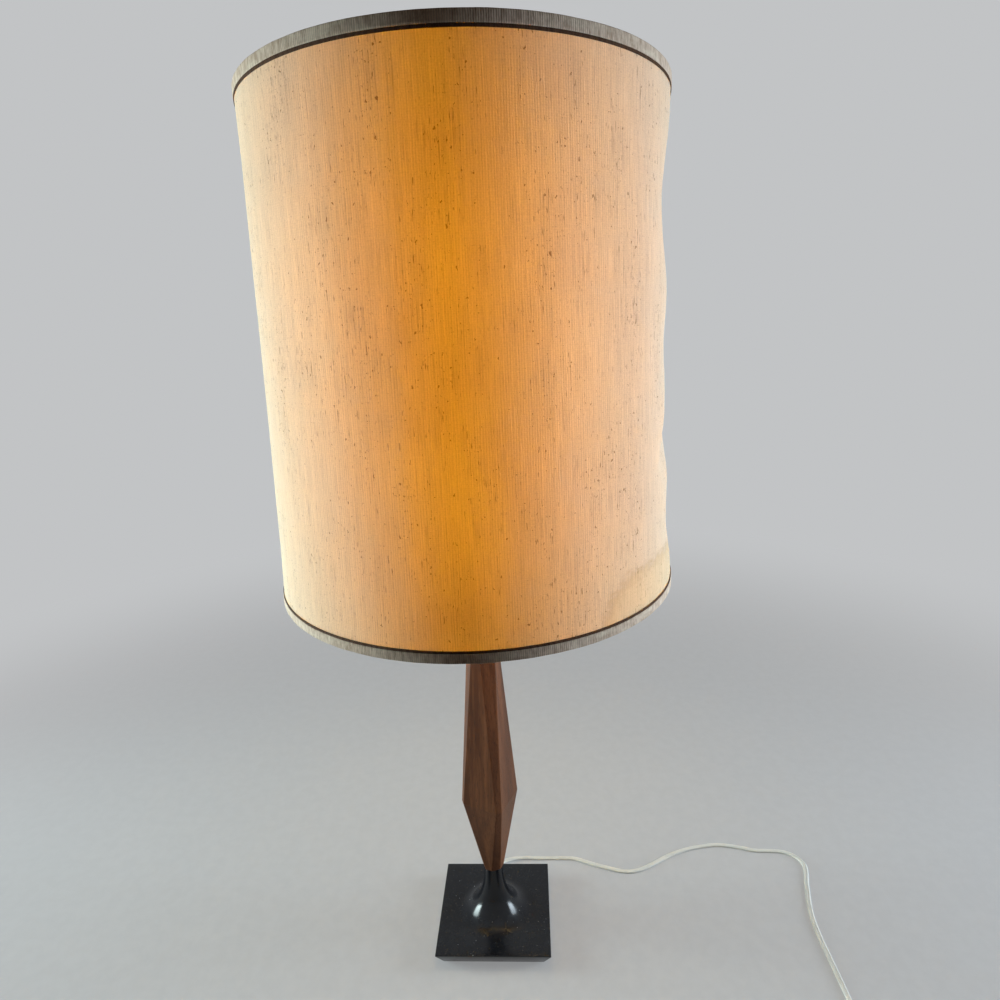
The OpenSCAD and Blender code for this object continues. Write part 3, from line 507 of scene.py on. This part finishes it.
TAIL = [(345, -198, 5.6), (335, -198, 5.6), (324, -198, 5.3), (314, -198, 5), (306, -198, 5)]
COIL_AT = (357, -165)


def eased(phase, steps):
    """A value that goes through (phase, value) steps with smooth ends."""
    for (p0, v0), (p1, v1) in zip(steps, steps[1:]):
        if phase <= p1:
            t = (phase - p0) / (p1 - p0)
            return v0 + (v1 - v0) * t * t * (3 - 2 * t)
    return steps[-1][1]


def coil_points():
    """The wound part, clockwise from the lead's end: 3.5 turns below and 1.5 on top. Its radius
    and its height in mm go by steps of (degrees wound, value)."""
    end, step = 1890, 6
    radius = [(0, 42), (310, 42), (360, 36), (670, 36), (720, 30), (1030, 30), (1080, 24),
              (1390, 24), (1440, 27), (1550, 27), (1630, 33), (end, 33)]
    height = [(0, 2.4), (1280, 2.4), (1365, 5.6), (end, 5.6)]
    points = []
    for phase in range(step, end, step):
        turn, r = -math.radians(phase), eased(phase, radius)
        r += 0.35 * wave(phase * 0.021, 3.7)
        x, y = COIL_AT[0] + r * math.cos(turn), COIL_AT[1] + r * math.sin(turn)
        points.append((x, y, eased(phase, height)))
    return points


def spline(points, step):
    """A smooth line through points, with its own points about step apart."""
    p = np.array(points, float)
    p = np.vstack([2 * p[0] - p[1], p, 2 * p[-1] - p[-2]])
    line = []
    for i in range(1, len(p) - 2):
        a, b, c, d = p[i - 1 : i + 3]
        count = max(1, round(np.linalg.norm(c - b) / step))
        for k in range(count):
            t = k / count
            line.append(0.5 * (2 * b + (c - a) * t + (2 * a - 5 * b + 4 * c - d) * t * t
                               + (3 * b - a - 3 * c + d) * t ** 3))
    return np.array(line + [p[-2]])


def cord_section():
    """Outline of the flat lead: two round cores joined by a thinner web, in units of mm."""
    core, thin = CORD_T / 2 / MM, 1.15
    centre = CORD_W / 2 / MM - core
    outline = []
    for degrees in range(-105, 106, 21):
        angle = math.radians(degrees)
        outline.append((centre + core * math.cos(angle), core * math.sin(angle)))
    outline.append((0.0, thin))
    outline += [(-x, y) for x, y in reversed(outline[:-1])]
    outline.append((0.0, -thin))
    return outline


def sweep(path, outline, up=(0, 0, 1)):
    """Rings of an outline carried along a path, its second axis towards up."""
    rings = []
    for i, p in enumerate(path):
        ahead = path[min(i + 1, len(path) - 1)] - path[max(i - 1, 0)]
        side = np.cross(ahead, up)
        side /= np.linalg.norm(side)
        top = np.cross(side, ahead)
        top /= np.linalg.norm(top)
        rings.append([p + side * x + top * y for x, y in outline])
    return rings


def make_cord():
    """The whole lead as one piece, and its line. Where it is low, it lies flat on the table."""
    line = spline(LEAD + coil_points() + TAIL, 4.0) * MM
    for p in line:
        if p[2] < 2.0 * MM:
            p[2] = CORD_T / 2
    outline = [(x * MM, y * MM) for x, y in cord_section()]
    verts, faces = loft(sweep(line, outline))
    nodes = ("cord_lead", "cord_coil", "cord_tail")
    return mesh_piece("cord", verts, faces, "stand", IVORY, nodes, 60), line


def rounded_ring(x, centre, half_y, half_z, power, count=40):
    """A soft rectangle across X at a centre, rounder as power comes down to 2."""
    ring = []
    for i in range(count):
        a = 2 * math.pi * (i + 0.5) / count
        c, s = math.cos(a), math.sin(a)
        ring.append((x, centre[0] + half_y * math.copysign(abs(c) ** (2 / power), c),
                     centre[1] + half_z * math.copysign(abs(s) ** (2 / power), s)))
    return ring


def make_plug():
    """The moulded plug along X: a soft block with five grip grooves, and a collar on the lead."""
    lo, hi = (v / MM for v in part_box("plug_body"))
    y, wide, tall = (lo.y + hi.y) / 2, (hi.y - lo.y) / 2, hi.z / 2
    cord_z, boxy = TAIL[-1][2], 6
    face = [(0, 2.6), (0.5, 1.2), (1.4, 0.35), (2.8, 0)]
    groove = [(0, 0), (0.7, 0.75), (1.5, 0.75), (2.2, 0)]
    shoulder = [(28.4, 0), (29.4, 0.7), (30, 2.2)]
    collar = [(30.3, 5.0, 2.6), (32.5, 4.7, 2.2), (35, 4.3, 2), (35.5, 3.9, 2), (36.4, 3.9, 2),
              (36.8, 4.1, 2), (37.4, 3.7, 2), (38, 3.4, 2)]
    rings = []
    for x, inset in face:
        rings.append(rounded_ring(lo.x + x, (y, tall), wide - inset, tall - inset, boxy))
    for k in range(5):
        start = lo.x + 8 + 3.6 * k
        for x, dip in groove:
            rings.append(rounded_ring(start + x, (y, tall), wide - dip, tall - 0.12 * dip, boxy))
    for x, inset in shoulder:
        rings.append(rounded_ring(lo.x + x, (y, tall), wide - inset, tall - inset, boxy))
    for x, half, power in collar:
        half = min(half, cord_z - 0.02)
        rings.append(rounded_ring(lo.x + x, (y, cord_z), half, half, power))
    verts, faces = loft(in_metres(rings))
    return mesh_piece("plug_grip", verts, faces, "stand", IVORY, ("plug_body",), 50)


def make_relief():
    """The tapered relief in the base: a flange inside, a plain shank, and three grip grooves."""
    lo, hi = (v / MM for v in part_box("cord_relief"))
    z, wall = (lo.z + hi.z) / 2, LEAD[0][1] - 8
    wide = hi.z - z
    profile = [(lo.y, wide - 0.4), (lo.y + 0.4, wide), (lo.y + 1.6, wide)]
    profile += [(lo.y + 2, 4.65), (wall + 0.6, 4.65)]
    for k in range(3):
        start, less = wall + 1.2 + 2.0 * k, 0.22 * k
        profile += [(start, 4.6 - less), (start + 0.3, 4.2 - less), (start + 0.8, 4.2 - less),
                    (start + 1.1, 4.55 - less)]
    profile += [(hi.y - 0.5, 3.85), (hi.y - 0.1, 3.6), (hi.y, 3.2)]
    rings = [[(a, y, z + b) for a, b, _ in circle(r, 0, 32)] for y, r in profile]
    verts, faces = loft(in_metres(rings))
    return mesh_piece("lead_relief", verts, faces, "stand", IVORY, ("cord_relief",), 40)


cord, cord_line = make_cord()
plug = make_plug()
make_relief()


# ---------------------------------------------------------------- base and wood
def square_point(half, turn):
    """Where a ray at an angle meets a square of half that width."""
    c, s = math.cos(turn), math.sin(turn)
    k = half / max(abs(c), abs(s))
    return k * c, k * s


def make_base():
    """The square casting and its trumpet neck as one skin, with a crisp but rounded top edge."""
    lo, hi = (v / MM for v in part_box("base_casting"))
    half, foot, neck_top, under = hi.x, 60.0, hi.z, lo.z
    plate = 21.0  # height of the plate's top
    bore, neck, flare = 5.4, 11.3, 48.0  # radii: the hole, the neck's top, and its flare below
    power = 2.2  # of the curve from the neck to the flare
    sides, steps = 192, 56
    turns = [2 * math.pi * i / sides for i in range(sides)]
    rings = [circle(r, neck_top, sides) for r in (bore, neck - 0.4)]
    for i in range(steps + 1):
        u = math.sin(math.pi / 2 * i / steps)
        r = flare - (flare - neck) * max(0.0, 1 - u ** power) ** (1 / power)
        z = neck_top - (neck_top - plate) * u - (0.25 if i == 0 else 0)
        rings.append(circle(r, z, sides))
    for share in (0.12, 0.35, 0.65, 1.0):
        ring = []
        for t in turns:
            x, y = square_point(half - 0.8, t)
            round_x, round_y = flare * math.cos(t) * (1 - share), flare * math.sin(t) * (1 - share)
            ring.append((x * share + round_x, y * share + round_y, plate))
        rings.append(ring)
    edge = [
        (half - 0.35, plate - 0.07), (half - 0.1, plate - 0.28), (half, plate - 0.6),
        (half, plate - 1.5), (half - 0.15, plate - 1.9), (foot + 0.3, under + 0.5),
        (foot, under + 0.15), (foot - 0.3, under),
    ]
    for reach, z in edge:
        rings.append([(*square_point(reach, t), z) for t in turns])
    verts, faces = loft(in_metres(rings[::-1]))
    return mesh_piece(
        "enamel_base", verts, faces, "stand", ENAMEL, ("base_casting",), 28
    )


WOOD_TURN = -23.9  # degrees from the base
BELLY_HEIGHT = 102.5  # mm, from the foot up to the widest place
# Width across the faces and across the corners in mm, at the foot, the belly and the top
WOOD_WIDTHS = [(24.4, 23.6), (53.4, 68.8), (31.8, 24.4)]
EASED_EDGE = 0.65  # mm


def make_wood():
    """The faceted body: four faces and four narrower corner facets, with its edges eased."""
    lo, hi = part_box("wood_body")
    rings = []
    for (face, corner), z in zip(WOOD_WIDTHS, (lo.z, lo.z + BELLY_HEIGHT * MM, hi.z)):
        a = face / 2
        w = corner / math.sqrt(2) - a
        ring = []
        for k in range(4):
            t = math.radians(WOOD_TURN + 90 * k)
            c, s = math.cos(t), math.sin(t)
            for side in (-w, w):
                ring.append(((a * c - side * s) * MM, (a * s + side * c) * MM, z))
        rings.append(ring)
    verts, faces = loft(rings)
    piece = mesh_piece(
        "wood_body_eased", verts, faces, "stand", WALNUT, ("wood_body",), 180
    )
    bm = bmesh.new()
    bm.from_mesh(piece.data)
    bmesh.ops.recalc_face_normals(bm, faces=bm.faces)
    bmesh.ops.bevel(
        bm, geom=bm.edges[:], offset=EASED_EDGE * MM, segments=3, profile=0.6, affect="EDGES"
    )
    bm.to_mesh(piece.data)
    bm.free()
    piece.data.polygons.foreach_set("use_smooth", [True] * len(piece.data.polygons))
    weighted = piece.modifiers.new("facets", "WEIGHTED_NORMAL")
    weighted.weight = 100
    return piece


make_base()
make_wood()

# ---------------------------------------------------------------- shade
CONE_LOW, CONE_TOP = (v.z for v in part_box("shade_fabric"))
R_LOW, R_TOP = radius_at("shade_fabric", CONE_LOW), radius_at("shade_fabric", CONE_TOP)
RIM_LOW, RIM_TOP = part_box("bottom_tape")[0].z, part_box("top_tape")[1].z
# Dents in the cloth: turn from +X in degrees, height in metres, depth in mm, and their spread
# in degrees and in metres. The first five are on the right, where the photograph shows them.
DENTS = [
    (-10, 0.836, 8.0, 13, 0.050), (-12, 0.715, 6.0, 15, 0.045), (-9, 0.642, 11.5, 9, 0.028),
    (-20, 0.622, 7.5, 6, 0.017), (-8, 0.560, 4.5, 12, 0.040), (118, 0.640, 2.5, 16, 0.090),
    (-172, 0.700, 2.0, 14, 0.120),
]
HELD = 60 * MM  # height over which the cloth comes free of a ring
RIPPLE = 0.9 * MM


def cone(z):
    """The fabric's outer radius at a height."""
    return R_LOW + (R_TOP - R_LOW) * (z - CONE_LOW) / (CONE_TOP - CONE_LOW)


def slack(turn, z):
    """How far the cloth lies inside the true cone, in metres: dents, and a slight waviness.
    The rings hold it to the cone at both edges."""
    edge = min(z - CONE_LOW, CONE_TOP - z)
    if edge <= 0:
        return 0.0
    free = min(1.0, edge / HELD)
    free = free * free * (3 - 2 * free)
    degrees = math.degrees(turn)
    depth = 0.0
    for at, height, deep, wide, tall in DENTS:
        off = (degrees - at + 180) % 360 - 180
        depth += deep * MM * math.exp(-((off / wide) ** 2) - ((z - height) / tall) ** 2)
    ripple = wave(math.cos(turn) * 3.1, math.sin(turn) * 3.1, z * 5) * 0.5
    ripple += wave(math.cos(turn) * 9, math.sin(turn) * 9, z * 3 + 7) * 0.3
    return (depth + (0.8 + ripple) * RIPPLE) * free


def shade_sheet(name, inset, look, node, around=360, rows=110):
    """One open skin of the shade, an inset inside its outer cone, with the cloth's slack."""
    rings = []
    for k in range(rows + 1):
        z = CONE_LOW + (CONE_TOP - CONE_LOW) * k / rows
        ring = []
        for i in range(around):
            turn = 2 * math.pi * i / around
            r = cone(z) - inset - slack(turn, z)
            ring.append((r * math.cos(turn), r * math.sin(turn), z))
        rings.append(ring)
    verts, faces = loft(rings, caps=False)
    return mesh_piece(name, verts, faces, "shade", look, (node,), 180)


def band(name, section, look, node, wobble=0.0, around=360):
    """A closed band round the shade: section holds (outwards from the cone, height) in metres."""
    rings = []
    for i in range(around):
        turn = 2 * math.pi * i / around
        c, s = math.cos(turn), math.sin(turn)
        ring = []
        for j, (out, z) in enumerate(section):
            shift = wobble * wave(c * 14 + j * 0.37, s * 14, 5.1)
            lift = wobble * wave(c * 9, s * 9 + j * 0.23, 11.3) * 0.8
            free = min(1.0, max(0.0, 0.4 + out / (0.8 * MM)))
            r = cone(z) + out + min(0.0, shift) * free
            ring.append((r * c, r * s, min(max(z + lift * free, RIM_LOW), RIM_TOP)))
        rings.append(ring)
    verts, faces = loft(rings, caps=False, loop=True)
    return mesh_piece(name, verts, faces, "shade", look, (node,), 60)


def tape_section(rim, up, inside):
    """Folded tape: up its outer face, over the rim, down its inner face, and back within."""
    hem = (RIM_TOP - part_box("top_ribbon")[1].z) / MM - 0.05
    t, inner = 0.75, -5.45  # its outer and its inner face, in mm outwards from the cone
    points = [(0.12, hem), (0.45, hem), (t - 0.05, hem - 0.3)]
    points += [(t, hem * (1 - k / 6)) for k in range(1, 6)]
    points += [
        (t - 0.05, 0.6), (t - 0.35, 0.12), (t - 0.9, 0.0), (-1.6, 0.08), (-3.2, 0.05),
        (inner + 0.9, 0.0), (inner + 0.25, 0.2), (inner, 0.8), (inner, inside - 0.2),
        (inner + 0.35, inside), (inner + 0.65, inside - 0.2), (inner + 0.7, 1.0), (-3.2, 0.72),
        (-1.6, 0.72), (0.05, 0.72), (0.05, hem * 0.5), (0.05, hem - 0.3),
    ]
    return [(out * MM, rim - up * down * MM) for out, down in points]


def ribbon_section(low, high):
    """Section of a thin ribbon between two heights in metres."""
    back, front = 0.06 * MM, 0.42 * MM
    return [
        (back, low), (0.8 * front, low + 0.05 * MM), (front, low + 0.5 * MM),
        (front, (low + high) / 2), (front, high - 0.5 * MM), (0.8 * front, high - 0.05 * MM),
        (back, high),
    ]


cloth = shade_sheet("shade_cloth", 0.3 * MM, CLOTH, "shade_fabric")
liner = shade_sheet("shade_lining", 0.9 * MM, LINER, "shade_liner", 240, 60)
tapes = [
    band("tape_upper", tape_section(RIM_TOP, 1, 3.6), TAPE, "top_tape", 0.35 * MM),
    band("tape_lower", tape_section(RIM_LOW, -1, 8.0), TAPE, "bottom_tape", 0.35 * MM),
]
for end, node in (("upper", "top_ribbon"), ("lower", "bottom_ribbon")):
    section = ribbon_section(*(v.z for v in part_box(node)))
    band("ribbon_" + end, section, RIBBON, node, 0.12 * MM)


def make_seam():
    """The cloth's overlap at the back, turned under: a thin upright strip on the shade."""
    middle, half, rows, short = math.radians(96), 4.5 * MM, 60, 11 * MM
    across = [(-1.0, 0.02), (-0.93, 0.22), (-0.6, 0.30), (0.6, 0.26), (0.93, 0.18), (1.0, 0.0),
              (0.9, -0.15), (-0.9, -0.15)]
    rings = []
    for k in range(rows + 1):
        z = CONE_LOW + short + (CONE_TOP - CONE_LOW - 2 * short) * k / rows
        ring = []
        for side, out in across:
            turn = middle + (side + 0.06 * wave(z * 30, side)) * half / cone(z)
            r = cone(z) - 0.3 * MM - slack(turn, z) + out * MM
            ring.append((r * math.cos(turn), r * math.sin(turn), z))
        rings.append(ring)
    verts, faces = loft(rings)
    return mesh_piece("shade_seam", verts, faces, "shade", CLOTH, (), 60)


seam = make_seam()


# ---------------------------------------------------------------- stage and light
BACKGROUND = (0.54, 0.55, 0.56)
LAMPLIGHT = (1.0, 0.80, 0.50)
# Windows: side, behind and height in metres, power, colour
WINDOWS = {
    "window_left": (-1.500, 0.040, 0.44, 13.6, (0.80, 0.98, 0.98)),
    "window_right": (1.497, 0.090, 0.46, 10.4, (0.76, 0.90, 1.0)),
}
# Point lights on the lamp's axis inside the shade: height and power
BULBS = {
    "lit_low": (0.57, 1.0), "lit_filament": (BULB_HIGH - 30 * MM, 1.0), "lit_high": (0.90, 0.8)
}
BULB_RADIUS = 0.028
STRIP_POWER = 1.28
WORLD_LIGHT = 0.06


def seen_directly(tree):
    """1 for rays from the camera, a mirror or glass, and 0 for light that bounces."""
    path = tree.nodes.new("ShaderNodeLightPath")
    total = path.outputs["Is Camera Ray"]
    for kind in ("Is Glossy Ray", "Is Transmission Ray"):
        either = tree.nodes.new("ShaderNodeMath")
        either.operation = "MAXIMUM"
        tree.links.new(total, either.inputs[0])
        tree.links.new(path.outputs[kind], either.inputs[1])
        total = either.outputs[0]
    return total


def make_floor():
    """A pale floor that runs out into the background's own grey, and throws little light back."""
    n = Nodes("floor_paper")
    place = n.coords()
    away = n.add("VectorMath", {"operation": "LENGTH"}, _0=place).outputs["Value"]
    grain = n.noise(place, 60, 4, 0.6)
    colour = n.mix(n.ramp(grain, 0.3, 0.7), (0.56, 0.56, 0.57), (0.60, 0.60, 0.61))
    near = n.add("BsdfDiffuse", Color=colour)
    even = n.add("Emission", Color=(*BACKGROUND, 1), Strength=1.0)
    fade = n.ramp(away, 0.25, 1.7, 0.45, 1.0)
    pale = n.add("MixShader", _0=fade, _1=near.outputs[0], _2=even.outputs[0])
    thrown = n.mix(n.ramp(grain, 0.3, 0.7), (0.10, 0.10, 0.10), (0.12, 0.12, 0.12))
    dark = n.add("BsdfDiffuse", Color=thrown)
    n.blend(seen_directly(n.tree), dark, pale)
    reach = 30
    corners = [(-reach, -reach, 0), (reach, -reach, 0), (reach, reach, 0), (-reach, reach, 0)]
    mesh = bpy.data.meshes.new("floor")
    mesh.from_pydata(corners, [], [(0, 1, 2, 3)])
    mesh.materials.append(n.mat)
    floor = bpy.data.objects.new("floor", mesh)
    scene.collection.objects.link(floor)


def make_world(level):
    """Even soft light; the camera, mirrors and glass see the background's grey."""
    world = bpy.data.worlds.new("studio")
    world.use_nodes = True
    tree = world.node_tree
    tree.nodes.clear()
    out = tree.nodes.new("ShaderNodeOutputWorld")
    soft = tree.nodes.new("ShaderNodeBackground")
    plain = tree.nodes.new("ShaderNodeBackground")
    both = tree.nodes.new("ShaderNodeMixShader")
    soft.inputs[0].default_value = (1.0, 0.86, 0.72, 1)
    soft.inputs[1].default_value = level
    plain.inputs[0].default_value = (*BACKGROUND, 1)
    tree.links.new(seen_directly(tree), both.inputs[0])
    tree.links.new(soft.outputs[0], both.inputs[1])
    tree.links.new(plain.outputs[0], both.inputs[2])
    tree.links.new(both.outputs[0], out.inputs[0])
    scene.world = world


def area_light(name, at, aim, size, power, colour, spread=math.pi):
    """A rectangular light at a place, turned towards another."""
    data = bpy.data.lights.new(name, "AREA")
    data.shape = "RECTANGLE"
    data.size, data.size_y = size
    data.spread = spread
    data.energy = power
    data.color = colour
    lamp = bpy.data.objects.new(name, data)
    lamp.location = at
    lamp.rotation_euler = (Vector(aim) - Vector(at)).to_track_quat("-Z", "Y").to_euler()
    scene.collection.objects.link(lamp)
    return lamp


def bulb_light(name, height, power):
    """A soft point light on the axis that only lights: no camera and no mirror sees it."""
    data = bpy.data.lights.new(name, "POINT")
    data.shadow_soft_size = BULB_RADIUS
    data.energy = power
    data.color = LAMPLIGHT
    lamp = bpy.data.objects.new(name, data)
    lamp.location = (0, 0, height)
    lamp.visible_camera = lamp.visible_glossy = False
    scene.collection.objects.link(lamp)


def window(name, side, behind, height, power, colour):
    """A tall soft window at a distance to one side of the lamp, a little behind it."""
    size, rise, spread = (0.55, 1.0), 0.06, math.radians(100)
    area_light(name, (side, behind, height), (0, 0, height + rise), size, power, colour, spread)


def inside_strip(name, facing):
    """A tall soft strip in the shade, for the light that its white liner throws about. It
    faces the front for 1 and the back for -1."""
    x, away, z = 0.010, 0.050, 0.70
    at, aim = (x, -away * facing, z), (x, -10 * away * facing, z)
    strip = area_light(name, at, aim, (0.03, 0.42), STRIP_POWER, LAMPLIGHT)
    strip.visible_camera = strip.visible_glossy = False


make_floor()
make_world(WORLD_LIGHT)
for name, placing in WINDOWS.items():
    window(name, *placing)
for name, (height, power) in BULBS.items():
    bulb_light(name, height, power)
inside_strip("lit_front", 1)
inside_strip("lit_back", -1)
# The bulb's own solids don't block the light of the lamps beside it
for node in ("bulb_glass", "bulb_stem", "bulb_filament"):
    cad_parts[node].visible_shadow = False

scene.view_settings.view_transform = "Standard"
